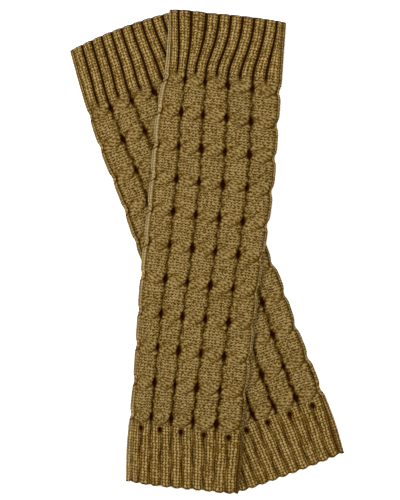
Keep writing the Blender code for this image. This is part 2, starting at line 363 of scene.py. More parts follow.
def slit_at(warmer, along):
    # The slit between front and back, wider towards both mouths
    from_mouth = np.minimum(along, warmer["length"] - along)
    return MOUTH_SLIT + (SLIT - MOUTH_SLIT) * smooth(from_mouth / MOUTH_REACH)


def front_height(warmer, along):
    # The front's plain face, on which ribs and cables are raised
    return BACK_WALL + slit_at(warmer, along) + FRONT_WALL


def pinch_at(warmer, along, column, rows=PINCH_ROWS):
    # One at each row of crossings, which draws the tube in
    cells = rows_at(warmer, along, column) / CELL_ROWS
    inside = (along > TOP_CUFF_END) & (along < LEG_END)
    return np.where(inside, bell((cells - np.round(cells)) * CELL_ROWS, rows), 0.0)


def outside_of(warmer, x, y):
    # How far a point lies outside a warmer's outline, or less than nought inside it
    dx, dy = x - warmer["top"][0], y - warmer["top"][1]
    cos, sin = math.cos(warmer["tilt"]), math.sin(warmer["tilt"])
    across, along = dx * cos + dy * sin, dx * sin - dy * cos
    left, right = edges(warmer, along)
    side = np.maximum(left - across, across - right)
    end = np.maximum(-along, along - warmer["length"])
    corner = np.hypot(np.maximum(side, 0.0), np.maximum(end, 0.0))
    return np.where((side > 0) & (end > 0), corner, np.maximum(side, end))


def lie_down(warmer, across, along, height):
    # Places points of a warmer in the scene: bowed at its mouths, turned, and on what it lies on
    left, right = edges(warmer, along)
    share = np.clip((across - left) / (right - left), 0.0, 1.0)
    top = warmer["top_bow"] * (1.0 - smooth(along / TOP_CUFF_END))
    bottom = warmer["bottom_bow"] * smooth((along - LEG_END) / (warmer["length"] - LEG_END))
    along = along + 4.0 * share * (1.0 - share) * (bottom - top)
    cos, sin = math.cos(warmer["tilt"]), math.sin(warmer["tilt"])
    x = warmer["top"][0] + across * cos + along * sin
    y = warmer["top"][1] + across * sin - along * cos
    return np.stack([x, y, height + warmer.get("drape", lambda x, y: 0.0)(x, y)], axis=-1) * MM


def knit_columns(one, width):
    # Round the tube: the front, the right fold, the underside and the left fold
    front = (np.arange(0, FRONT_STITCHES, width)[:, None] + one).ravel()
    right = FRONT_STITCHES + FOLD_STITCHES * np.linspace(0, 1, FOLD_SAMPLES + 1)
    left = ROUND_STITCHES - FOLD_STITCHES * np.linspace(1, 0, FOLD_SAMPLES + 1)
    below = np.linspace(right[-1], left[0], UNDERSIDE_SAMPLES + 1)[1:-1]
    return np.concatenate([front, right, below, left])


def round_places(column):
    # How far round the right and the left fold a column lies, and how far over the underside
    turn = (column - FRONT_STITCHES) / FOLD_STITCHES
    back = (ROUND_STITCHES - column) / FOLD_STITCHES
    part = (turn - 1.0) / ((ROUND_STITCHES - FRONT_STITCHES) / FOLD_STITCHES - 2.0)
    return turn, back, part


def turn_under(warmer, column, along, across, height, form, stitch):
    # The folds turn under on an arc, and the underside is pressed flat on what it rests on
    left, right = edges(warmer, along)
    left = left + PINCH_LEFT * pinch_at(warmer, along, 0.0 * column)
    right = right - PINCH_RIGHT * pinch_at(warmer, along, 0.0 * column + FRONT_STITCHES)
    fold_half = FOLD_HALF * front_height(warmer, along)
    bulge = STITCH_RELIEF * (stitch - 0.5)
    turn, back, part = round_places(column)
    inset_left, inset_right = fold_valleys(warmer, along)
    folds = ((turn, right, -1.0, inset_right), (back, left, 1.0, inset_left))
    for share, edge, inward, inset in folds:
        folded = (column > FRONT_STITCHES) & (share <= 1.0)
        radius = np.minimum(FOLD_RADIUS, inset)
        flat = np.clip(share / FOLD_FLAT, 0.0, 1.0)
        angle = np.pi * (0.5 - np.clip((share - FOLD_FLAT) / (1.0 - FOLD_FLAT), 0.0, 1.0))
        from_edge = radius - (radius + bulge) * np.cos(angle) + (inset - radius) * (1.0 - flat)
        across = np.where(folded, edge + inward * from_edge, across)
        rounded = fold_half + (fold_half + bulge) * np.sin(angle) - FOLD_DROP * (1.0 - flat)
        height = np.where(folded, rounded, height)
    below = (turn > 1.0) & (back > 1.0)
    low = left + np.minimum(FOLD_RADIUS, inset_left)
    high = right - np.minimum(FOLD_RADIUS, inset_right)
    across = np.where(below, high + (low - high) * part, across)
    pressed = PRESSED_RELIEF * (1.0 - form) + PRESSED_STITCH * (1.0 - stitch)
    pressed = pressed * np.sin(np.pi * np.clip(part, 0, 1)) ** PRESSED_EDGE
    height = np.maximum(np.where(below, pressed, height), 0.0)
    across[:, -1], height[:, -1] = across[:, 0], height[:, 0]
    return across, height


def mouth_edge(column, along, to_top, to_bottom, form, stitch_place):
    # The mouths end in a wavy edge, each rib reaching out a little past its valleys, with the
    # corners of the bottom one rounded
    from_rib = np.abs(column - RIB_STITCHES * np.round(column / RIB_STITCHES))
    tab = np.where(along > LEG_END, TAB_REACH * (0.5 - bell(from_rib, TAB_WIDTH)), 0.0)
    loops = MOUTH_STITCH * np.abs(np.cos(np.pi * stitch_place))
    reach = MOUTH_WAVE * (form - MOUTH_LEVEL) + loops + tab
    along = along + reach * (np.exp(-to_bottom / MOUTH_FADE) - np.exp(-to_top / MOUTH_FADE))
    at_corner = bell(np.minimum(*from_folds(column)), CORNER_STITCHES)
    along = along - CORNER_ROUND * at_corner * np.exp(-to_bottom / CORNER_REACH)
    along[:, -1] = along[:, 0]
    return along


# The band on each fold is a run of stitches turned to the light, with painted light, paler at each
# stitch's back
BAND_START = 0.06
BAND_START_SOFT = 0.1
BAND_END = 0.9
BAND_END_SOFT = 0.2
BAND_LOW = 0.45
BAND_STITCH = 0.75
BAND_PINCH = 0.6
BAND_PINCH_ROWS = 2.2


def paint_fold_light(warmer, column, along, stitch):
    # How much painted light each point of the two folds gets, and less than nought, painted shade,
    # where one is in the shade
    def lifted(share, side):
        ending = smooth((BAND_END - share) / BAND_END_SOFT)
        on_band = ending * smooth((share - BAND_START) / BAND_START_SOFT)
        return on_band * curve_through(FOLD_PLACES, warmer[side], along)

    turn, back, _ = round_places(column)
    on_left = column > FRONT_STITCHES + FOLD_STITCHES
    painted_fold_light = np.where(on_left, lifted(back, "left_painted_light"), lifted(turn, "right_painted_light"))
    painted_highlight = painted_fold_light > 0
    painted_fold_light = painted_fold_light * (column > FRONT_STITCHES) * np.where(painted_highlight, BAND_LOW + BAND_STITCH * stitch, 1.0)
    pinched = pinch_at(warmer, along, column, BAND_PINCH_ROWS) * BAND_PINCH * (painted_fold_light > 0)
    return painted_fold_light * (1.0 - pinched)


def knit_skin(warmer, knit, column, along, mouths):
    # The outside of the tube with its stitches raised, and its painted shading: painted shade in
    # valleys, holes and at the mouths, painted light on the folds
    relief, form, painted_shading, layer, strands = knit(warmer, column, along)
    grooves = grooves_at(along)
    stitch = np.choose(layer, [stitch_form(u, v, grooves) for u, v in strands])
    to_top = along if mouths[0] else along + np.inf
    to_bottom = warmer["length"] - along if mouths[1] else along + np.inf
    from_mouth = np.minimum(to_top, to_bottom)
    rolled = 0.5 + 0.5 * smooth(from_mouth / MOUTH_ROLL)
    raised = (relief + STITCH_RELIEF * stitch * (STITCH_LOW + (1.0 - STITCH_LOW) * form)) * rolled
    lowered = EDGE_LOWER * bell(np.minimum(*from_folds(column)), EDGE_LOWER_STITCHES)
    height = front_height(warmer, along) + raised - lowered
    across = column_across(warmer, np.minimum(column, FRONT_STITCHES), along)
    across, height = turn_under(warmer, column, along, across, height, form, stitch)
    calmed = pinch_at(warmer, along, column, CALM_ROWS)
    along = mouth_edge(column, along, to_top, to_bottom, form, strands[0][0])
    painted_fold_light = paint_fold_light(warmer, column, along, stitch)
    # Painted shade along the rolled edge of each mouth
    painted_shading = np.maximum(painted_shading, MOUTH_PAINTED_SHADE * bell(from_mouth, MOUTH_PAINTED_SHADE_REACH))
    # Painted light on the fold band, or painted shade where it is under nought
    painted_shading = painted_shading - FOLD_PAINTED_LIGHT * painted_fold_light * (1.0 - painted_shading)
    return across, along, height, painted_shading, grooves - calmed + np.maximum(painted_fold_light, 0.0)


def plain_inside(warmer, column, along):
    # The inside of the tube, plain, with a thin slit between its front and its back
    left, right = edges(warmer, along)
    low, high = left + INSIDE_MARGIN, right - INSIDE_MARGIN
    gap = slit_at(warmer, along)
    turn, back, part = round_places(column)
    across = low + (high - low) * column / FRONT_STITCHES
    across = np.where(turn > 1.0, high + (low - high) * part, across)
    height = np.where(turn > 1.0, BACK_WALL, BACK_WALL + gap)
    for folded, start, side in ((turn, high, 1.0), (back, low, -1.0)):
        inside_fold = (folded >= 0.0) & (folded <= 1.0) & (column > FRONT_STITCHES)
        angle = np.pi * (0.5 - np.clip(folded, 0, 1))
        reach = FOLD_RADIUS * INSIDE_FOLD * np.cos(angle)
        across = np.where(inside_fold, start + side * reach, across)
        round_up = BACK_WALL + gap / 2 * (1.0 + np.sin(angle))
        height = np.where(inside_fold, round_up, height)
    across[:, -1], height[:, -1] = across[:, 0], height[:, 0]
    return across, height


# How far the drawn stitches wander, how deep their grooves and gaps are and how dark with painted
# shade, how much one stitch, one leg of it, the yarn's twist and broad patches change the tone,
# and how much painted highlight a fold turned to the light takes
WANDER_SCALE = 0.55
LOOSE_MOST = 2.1
LOOSE_LEAST = 0.5
DRAWN_GROOVE = 0.95
DRAWN_GROOVE_WIDTH = 0.34
LEG_TONE = 0.78
LEG_TONE_LOW = 0.24
GAP_WIDTH = 0.5
GAP_ROWS = 0.28
GAP_LEAST = 0.65
GAP_MORE = 0.4
GAP_CLOSED = 0.6
STITCH_CHANGE = 0.2
LEG_CHANGE = 0.7
TWIST_SCALE = 2.2
TWIST_CHANGE = 2.6
TWIST_BUMP = 0.2
PATCH_SCALE = 90.0
PATCH_CHANGE = 0.12
CALM_TONE = 0.72
PAINTED_HIGHLIGHT_SHARE = 0.3
PAINTED_HIGHLIGHT_COLOUR = (0.38, 0.295, 0.155, 1)
LEG_DRAW = 7.0


def yarn_group():
    # Colour and height of knitted stitches, drawn on the piece's own columns and rows, with
    # painted shade in their grooves and gaps and painted light on their crests
    group = bpy.data.node_groups.new("knitted_stitches", "ShaderNodeTree")
    for name, kind in (("Stitches", "NodeSocketVector"), ("Depth", "NodeSocketFloat"),
                       ("Grooves", "NodeSocketFloat"), ("Shade", "NodeSocketColor"),
                       ("Yarn", "NodeSocketColor"), ("Light", "NodeSocketColor")):
        group.interface.new_socket(name, in_out="INPUT", socket_type=kind)
    for name, kind in (("Colour", "NodeSocketColor"), ("Height", "NodeSocketFloat")):
        group.interface.new_socket(name, in_out="OUTPUT", socket_type=kind)
    nodes, links = group.nodes, group.links
    given, out = nodes.new("NodeGroupInput"), nodes.new("NodeGroupOutput")

    def value_of(socket, slot):
        if isinstance(socket, (int, float)):
            slot.default_value = socket
        else:
            links.new(socket, slot)

    def calc(operation, a, b=0.0, clamp=False):
        node = nodes.new("ShaderNodeMath")
        node.operation, node.use_clamp = operation, clamp
        value_of(a, node.inputs[0])
        value_of(b, node.inputs[1])
        return node.outputs[0]

    def bump_at(distance, width):
        # The same bell as in the mesh
        squared = calc("POWER", calc("DIVIDE", distance, width), 2.0)
        return calc("EXPONENT", calc("MULTIPLY", squared, -1.0))

    def mixed(share, a, b):
        node = nodes.new("ShaderNodeMix")
        node.data_type = "RGBA"
        links.new(share, node.inputs["Factor"])
        links.new(a, node.inputs["A"])
        links.new(b, node.inputs["B"])
        return node.outputs["Result"]

    def noise(scale, vector):
        node = nodes.new("ShaderNodeTexNoise")
        node.inputs["Scale"].default_value = scale
        links.new(vector, node.inputs["Vector"])
        return node

    # Stitches wander a little from straight columns and rows
    wander = nodes.new("ShaderNodeSeparateXYZ")
    drift = noise(WANDER_SCALE, given.outputs["Stitches"])
    links.new(drift.outputs["Color"], wander.inputs[0])
    split = nodes.new("ShaderNodeSeparateXYZ")
    links.new(given.outputs["Stitches"], split.inputs[0])
    grooves = calc("MAXIMUM", given.outputs["Grooves"], 0.0)
    loose = calc("SUBTRACT", LOOSE_MOST, calc("MULTIPLY", grooves, 2.0))
    loose = calc("MAXIMUM", loose, LOOSE_LEAST)
    aside = calc("MULTIPLY", calc("SUBTRACT", wander.outputs["X"], 0.5), loose)
    u = calc("ADD", split.outputs["X"], aside)
    v = calc("ADD", split.outputs["Y"], calc("SUBTRACT", wander.outputs["Y"], 0.5))
    lean = calc("ABSOLUTE", calc("SUBTRACT", calc("MULTIPLY", calc("FRACT", u), 2.0), 1.0))
    slope = calc("ADD", v, calc("MULTIPLY", lean, LEG_LEAN))
    away = calc("ABSOLUTE", calc("SUBTRACT", calc("MULTIPLY", calc("FRACT", slope), 2.0), 1.0))
    ridge = calc("SUBTRACT", 1.0, calc("POWER", away, RIDGE_SHARPNESS))
    # Each leg's crest is painted light, and the groove between two legs and the dip between rows
    # painted shade
    groove = calc("MULTIPLY", bump_at(lean, DRAWN_GROOVE_WIDTH), DRAWN_GROOVE)
    groove = calc("MULTIPLY", groove, grooves, clamp=True)
    leg = calc("ADD", calc("MULTIPLY", ridge, LEG_TONE), LEG_TONE_LOW)
    form = calc("MULTIPLY", calc("SUBTRACT", 1.0, groove), leg)

    # Between the two legs of each stitch is a small gap in painted shade, wider in some than in
    # others
    which = nodes.new("ShaderNodeCombineXYZ")
    links.new(calc("FLOOR", u), which.inputs["X"])
    links.new(calc("FLOOR", calc("ADD", v, 0.5)), which.inputs["Y"])
    each = nodes.new("ShaderNodeTexWhiteNoise")
    links.new(which.outputs[0], each.inputs["Vector"])
    off_row = calc("SUBTRACT", calc("FRACT", calc("ADD", v, 0.5)), 0.5)
    gap = calc("MULTIPLY", bump_at(lean, GAP_WIDTH), bump_at(off_row, GAP_ROWS))
    wide = calc("ADD", calc("MULTIPLY", each.outputs["Value"], GAP_MORE), GAP_LEAST)
    tight = calc("SUBTRACT", 1.0, calc("MULTIPLY", grooves, GAP_CLOSED), clamp=True)
    gap = calc("MULTIPLY", gap, calc("MULTIPLY", wide, tight), clamp=True)

    # Stitches and their legs take the light a little differently, and the yarn has a fine twist.
    # A leg's random draw is kept apart from its stitch's by LEG_DRAW.
    leg_of = nodes.new("ShaderNodeCombineXYZ")
    links.new(calc("FLOOR", calc("MULTIPLY", u, 2.0)), leg_of.inputs["X"])
    links.new(calc("FLOOR", slope), leg_of.inputs["Y"])
    leg_of.inputs["Z"].default_value = LEG_DRAW
    every = nodes.new("ShaderNodeTexWhiteNoise")
    links.new(leg_of.outputs[0], every.inputs["Vector"])
    place = nodes.new("ShaderNodeTexCoord")
    twist = noise(TWIST_SCALE, given.outputs["Stitches"])
    patches = noise(PATCH_SCALE, place.outputs["Object"])

    def change_by(socket, amount):
        return calc("MULTIPLY", calc("SUBTRACT", socket, 0.5), amount)

    uneven = change_by(each.outputs["Color"], STITCH_CHANGE)
    spread = change_by(every.outputs["Value"], LEG_CHANGE)
    spun = change_by(twist.outputs["Fac"], TWIST_CHANGE)
    patchy = change_by(patches.outputs["Fac"], PATCH_CHANGE)
    change = calc("ADD", calc("ADD", spread, spun), calc("ADD", uneven, patchy))
    change = calc("ADD", change, 1.0)
    tone = calc("MULTIPLY", form, change, clamp=True)
    tone = calc("MULTIPLY", tone, calc("SUBTRACT", 1.0, gap), clamp=True)
    # Where the cables cross the stitches are stretched and smoother
    calm = calc("MULTIPLY", given.outputs["Grooves"], -CROSSING_CALM, clamp=True)
    tone = calc("ADD", tone, calc("MULTIPLY", calc("SUBTRACT", CALM_TONE, tone), calm))
    # The painted shading under nought is painted light on a fold turned to the light, mixed
    # towards the painted highlight colour, and over nought painted shade in a valley
    raised = calc("MULTIPLY", given.outputs["Depth"], -1.0, clamp=True)
    painted_lift = calc("MULTIPLY", raised, PAINTED_HIGHLIGHT_SHARE)
    tone = calc("ADD", tone, painted_lift, clamp=True)
    links.new(calc("ADD", tone, calc("MULTIPLY", spun, TWIST_BUMP)), out.inputs["Height"])
    # Painted shade darkens the tone, and the tone runs from the Shade colour through the yarn's
    # own colour to the Light colour: painted shade, the yarn, painted highlight
    tone = calc("MULTIPLY", tone, calc("SUBTRACT", 1.0, given.outputs["Depth"], clamp=True))
    low = calc("MULTIPLY", tone, 2.0, clamp=True)
    high = calc("SUBTRACT", calc("MULTIPLY", tone, 2.0), 1.0, clamp=True)
    colour = mixed(low, given.outputs["Shade"], given.outputs["Yarn"])
    colour = mixed(high, colour, given.outputs["Light"])
    painted_highlight = nodes.new("ShaderNodeRGB")
    painted_highlight.outputs[0].default_value = PAINTED_HIGHLIGHT_COLOUR
    links.new(mixed(painted_lift, colour, painted_highlight.outputs[0]), out.inputs["Colour"])
    return group


# The yarn is matt, and its bump height is in millimetres
YARN_ROUGHNESS = 0.88
YARN_BUMP = 0.7
YARN_BUMP_HEIGHT = 0.4


def yarn_material(name, shade, yarn, light):
    # Matt yarn without any sheen
    material = bpy.data.materials.new(name)
    material.use_nodes = True
    nodes, links = material.node_tree.nodes, material.node_tree.links
    shader = nodes["Principled BSDF"]
    shader.inputs["Roughness"].default_value = YARN_ROUGHNESS
    shader.inputs["Specular IOR Level"].default_value = 0.0
    stitches = nodes.new("ShaderNodeUVMap")
    stitches.uv_map = "stitches"
    # The painted shading that the mesh carries: painted shade in valleys and holes, painted light
    # on folds
    painted_shading_mask = nodes.new("ShaderNodeAttribute")
    painted_shading_mask.attribute_name = "painted_shading_mask"
    knit = nodes.new("ShaderNodeGroup")
    knit.node_tree = bpy.data.node_groups.get("knitted_stitches") or yarn_group()
    knit.inputs["Shade"].default_value = shade
    knit.inputs["Yarn"].default_value = yarn
    knit.inputs["Light"].default_value = light
    grooves = nodes.new("ShaderNodeAttribute")
    grooves.attribute_name = "grooves"
    bump = nodes.new("ShaderNodeBump")
    bump.inputs["Strength"].default_value = YARN_BUMP
    bump.inputs["Distance"].default_value = YARN_BUMP_HEIGHT * MM
    links.new(stitches.outputs["UV"], knit.inputs["Stitches"])
    links.new(painted_shading_mask.outputs["Fac"], knit.inputs["Depth"])
    links.new(grooves.outputs["Fac"], knit.inputs["Grooves"])
    links.new(knit.outputs["Colour"], shader.inputs["Base Color"])
    links.new(knit.outputs["Height"], bump.inputs["Height"])
    links.new(bump.outputs["Normal"], shader.inputs["Normal"])
    return material


# A sample row closer than ROW_SPARE of a step to an end is left out, and each face corner reads
# its stitch from CORNER_PULL of the way to the face's middle, which keeps it on its own cable
ROW_SPARE = 0.3
CORNER_PULL = 0.02
SAME_PLACE = 1e-7
SMOOTH_ANGLE = math.radians(80.0)


def knit_tube(warmer, piece, knit, column, start, end, material):
    # One closed shell: the knitted outside, a rolled rim at each end and the plain inside
    node = warmer["name"] + "_" + piece
    mouths = (start <= 0.0, end >= warmer["length"])
    row_height = warmer["cell"] / CELL_ROWS
    inner_rows = round((end - start) / INSIDE_STEP) + 2
    step = row_height / SAMPLES_PER_ROW
    first = warmer["first_crossing"] % step
    whole = np.arange(first, warmer["length"], step)
    whole = whole[(whole > start + ROW_SPARE * step) & (whole < end - ROW_SPARE * step)]
    out_along = np.concatenate([[start], whole, [end]])
    outer_rows = len(out_along)
    in_along = np.linspace(end, start, inner_rows)
    grid_column, grid_along = np.meshgrid(column, out_along)
    across, skin_along, height, painted_shading, grooves = knit_skin(
        warmer, knit, grid_column, grid_along, mouths
    )
    skin = lie_down(warmer, across, skin_along, height)
    inner_column, inner_along = np.meshgrid(column, in_along)
    inner_across, inner_height = plain_inside(warmer, inner_column, inner_along)
    lining = lie_down(warmer, inner_across, inner_along, inner_height)

    def rim(out_row, in_row, roll):
        # The row halfway between outside and inside, rolled out a little at a mouth
        middle = 0.5 * (skin[out_row] + lining[in_row])
        way = np.array([math.sin(warmer["tilt"]), -math.cos(warmer["tilt"]), 0.0])
        return (middle + way * roll * MM)[None]

    bottom = rim(-1, 0, EDGE_ROLL if mouths[1] else 0.0)
    top = rim(0, -1, -EDGE_ROLL if mouths[0] else 0.0)
    points = np.concatenate([skin, bottom, lining, top, skin[:1]])
    rows, columns = points.shape[:2]

    bpy.ops.object.select_all(action="DESELECT")
    bpy.ops.mesh.primitive_grid_add(x_subdivisions=columns - 1, y_subdivisions=rows - 1, size=1.0)
    tube = bpy.context.object
    mesh = tube.data
    tube.name = mesh.name = node + "_cloth"
    flat = np.empty(len(mesh.vertices) * 3)
    mesh.vertices.foreach_get("co", flat)
    flat = flat.reshape(-1, 3)
    i = np.round((0.5 - flat[:, 1]) * (rows - 1)).astype(int)
    j = np.round((flat[:, 0] + 0.5) * (columns - 1)).astype(int)
    mesh.vertices.foreach_set("co", points[i, j].ravel())

    # The last row repeats the first, and each corner reads the strand that its face lies on
    fill = rows - outer_rows - 1
    spare = np.zeros((fill, columns))
    # The outside carries its painted shading, and the rim and the inside get half painted shade
    painted_shading_rows = np.concatenate([painted_shading, spare + 0.5, painted_shading[:1]])
    mesh.attributes.new("painted_shading_mask", "FLOAT", "POINT").data.foreach_set("value", painted_shading_rows[i, j])
    grooved = np.concatenate([grooves, spare + grooves[-1, 0], grooves[:1]])
    mesh.attributes.new("grooves", "FLOAT", "POINT").data.foreach_set("value", grooved[i, j])
    loops = np.empty(len(mesh.loops), int)
    mesh.loops.foreach_get("vertex_index", loops)
    face_i, face_j = i[loops].reshape(-1, 4).min(1), j[loops].reshape(-1, 4).min(1)
    alongs = np.concatenate([out_along, np.linspace(end, start, fill), out_along[:1]])
    middle_column = 0.5 * (column[face_j] + column[face_j + 1])
    middle_along = 0.5 * (alongs[face_i] + alongs[face_i + 1])
    crossing = np.round(rows_at(warmer, middle_along, middle_column) / CELL_ROWS)
    face_layer = knit(warmer, middle_column, middle_along, crossing)[3]
    corner_column = (1.0 - CORNER_PULL) * column[j[loops]]
    corner_column = corner_column + CORNER_PULL * np.repeat(middle_column, 4)
    corner_along = alongs[i[loops]]
    strands = knit(warmer, corner_column, corner_along, np.repeat(crossing, 4))[4]
    corner_layer = np.repeat(face_layer, 4)
    places = [np.choose(corner_layer, [strand[k] for strand in strands]) for k in (0, 1)]
    stitches = mesh.uv_layers.new(name="stitches")
    stitches.data.foreach_set("uv", np.stack(places, axis=1).astype(np.float32).ravel())

    bpy.ops.object.mode_set(mode="EDIT")
    bpy.ops.mesh.select_all(action="SELECT")
    bpy.ops.mesh.remove_doubles(threshold=SAME_PLACE)
    bpy.ops.mesh.normals_make_consistent(inside=False)
    bpy.ops.object.mode_set(mode="OBJECT")
    bpy.ops.object.shade_smooth_by_angle(angle=SMOOTH_ANGLE)
    mesh.materials.append(material)
    left, right = edges(warmer, out_along)
    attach(tube, "root")
    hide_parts(node)


# The yarn's colours: painted shade in the valleys, gaps and holes, its own colour over most of it,
# and a painted highlight where it catches the light. The cuffs' colours are the same yarn set a
# little lighter than the leg's, painted light on their raised ribs
YARN_SHADE = (0.010, 0.002, 0.0006, 1)
CUFF_YARN = (0.088, 0.0485, 0.0067, 1)
CUFF_LIGHT = (0.228, 0.162, 0.065, 1)

cuff_yarn = yarn_material("cuff_yarn", YARN_SHADE, CUFF_YARN, CUFF_LIGHT)
cuff_columns = knit_columns(rib_columns(), RIB_STITCHES)
knit_tube(under, "top_cuff", rib_knit, cuff_columns, 0.0, TOP_CUFF_END, cuff_yarn)


# The under warmer's leg carries five rope cables on each side. Each is six stitches wide, its
# right three crossed over its left three every twelve rows, and the two purl stitches between
# two cables sink to a line of painted shade that opens to a small hole beside each crossing,
# carved a little and dark with painted shade.

# The two strands of a cable, in cable widths, and how far from a crossing, in cells, they part
CABLE_HEIGHT = 2.6
CABLE_MARGIN = 0.2
CABLE_SHARPNESS = 8.0
STRAND_SHARPNESS = 3.0
STRAND_HALF = 0.25
STRAND_SPREAD = 0.24
STRAND_RISE = 0.12
STRAND_SINK = 0.5
STRAND_STITCHES = 3
CROSSING_REACH = 0.23
CROSSING_CORE = 1.2
PARTED_REACH = 0.34
ROW_TILT = 1.2
PILLOW_PAINTED_HIGHLIGHT = 0.3
PILLOW_CLEAR = 0.05

# The holes beside the crossings, carved a little into the relief and dark with painted shade, in
# stitches and rows
HOLE_UNEVEN = 0.16
HOLE_MARGIN = 0.3
HOLE_STITCHES = 0.9
HOLE_ROWS = 1.9
HOLE_CORNERS = 1.3
HOLE_END = 1.35
HOLE_SOFT = 0.6
HOLE_ROUGH = 0.15
HOLE_CARVE = 0.5
HOLE_FORM = 0.3

# The valleys between cables, how they rest and slacken at the left fold, and their painted shade,
# broader and darker before the first crossing and in the last cells
VALLEY_LINE = 0.38
VALLEY_UNEVEN = 0.3
VALLEY_KEPT = 0.82
VALLEY_SKIRT = 0.18
VALLEY_SKIRT_WIDTH = 0.7
VALLEY_SWAY = 0.24
QUICK_SWAY = 0.7
VALLEY_REST = 0.35
SLACK_AT_FOLD = 0.5
EARLY_START = 0.5
EARLY_ROWS = 3.0
EARLY_WIDTH = 0.5
LAST_CELL = 8.5
LAST_CELL_LENGTH = 0.8
LAST_WIDER = 0.2
LAST_DARKER = 0.3

# The shade at the edge of the strand that passes over, in widths of half a strand
ARC_PAINTED_SHADOW = 0.8
ARC_OUTSIDE = 0.16
ARC_INSIDE = 0.07
ARC_SHADE = 0.35
ARC_ABOVE = 0.7
AT_CROSSING = 1e-9
RIBS_FADE = 9.0
RIBS_START = 3.0


def cable_columns():
    # Samples of one cable, four to a stitch, with one down in the valley
    samples = 2 * STRAND_STITCHES * SAMPLES_PER_STITCH + 1
    inner = np.linspace(CABLE_MARGIN, CABLE_STITCHES - CABLE_MARGIN, samples)
    return np.concatenate([[0.0], inner])


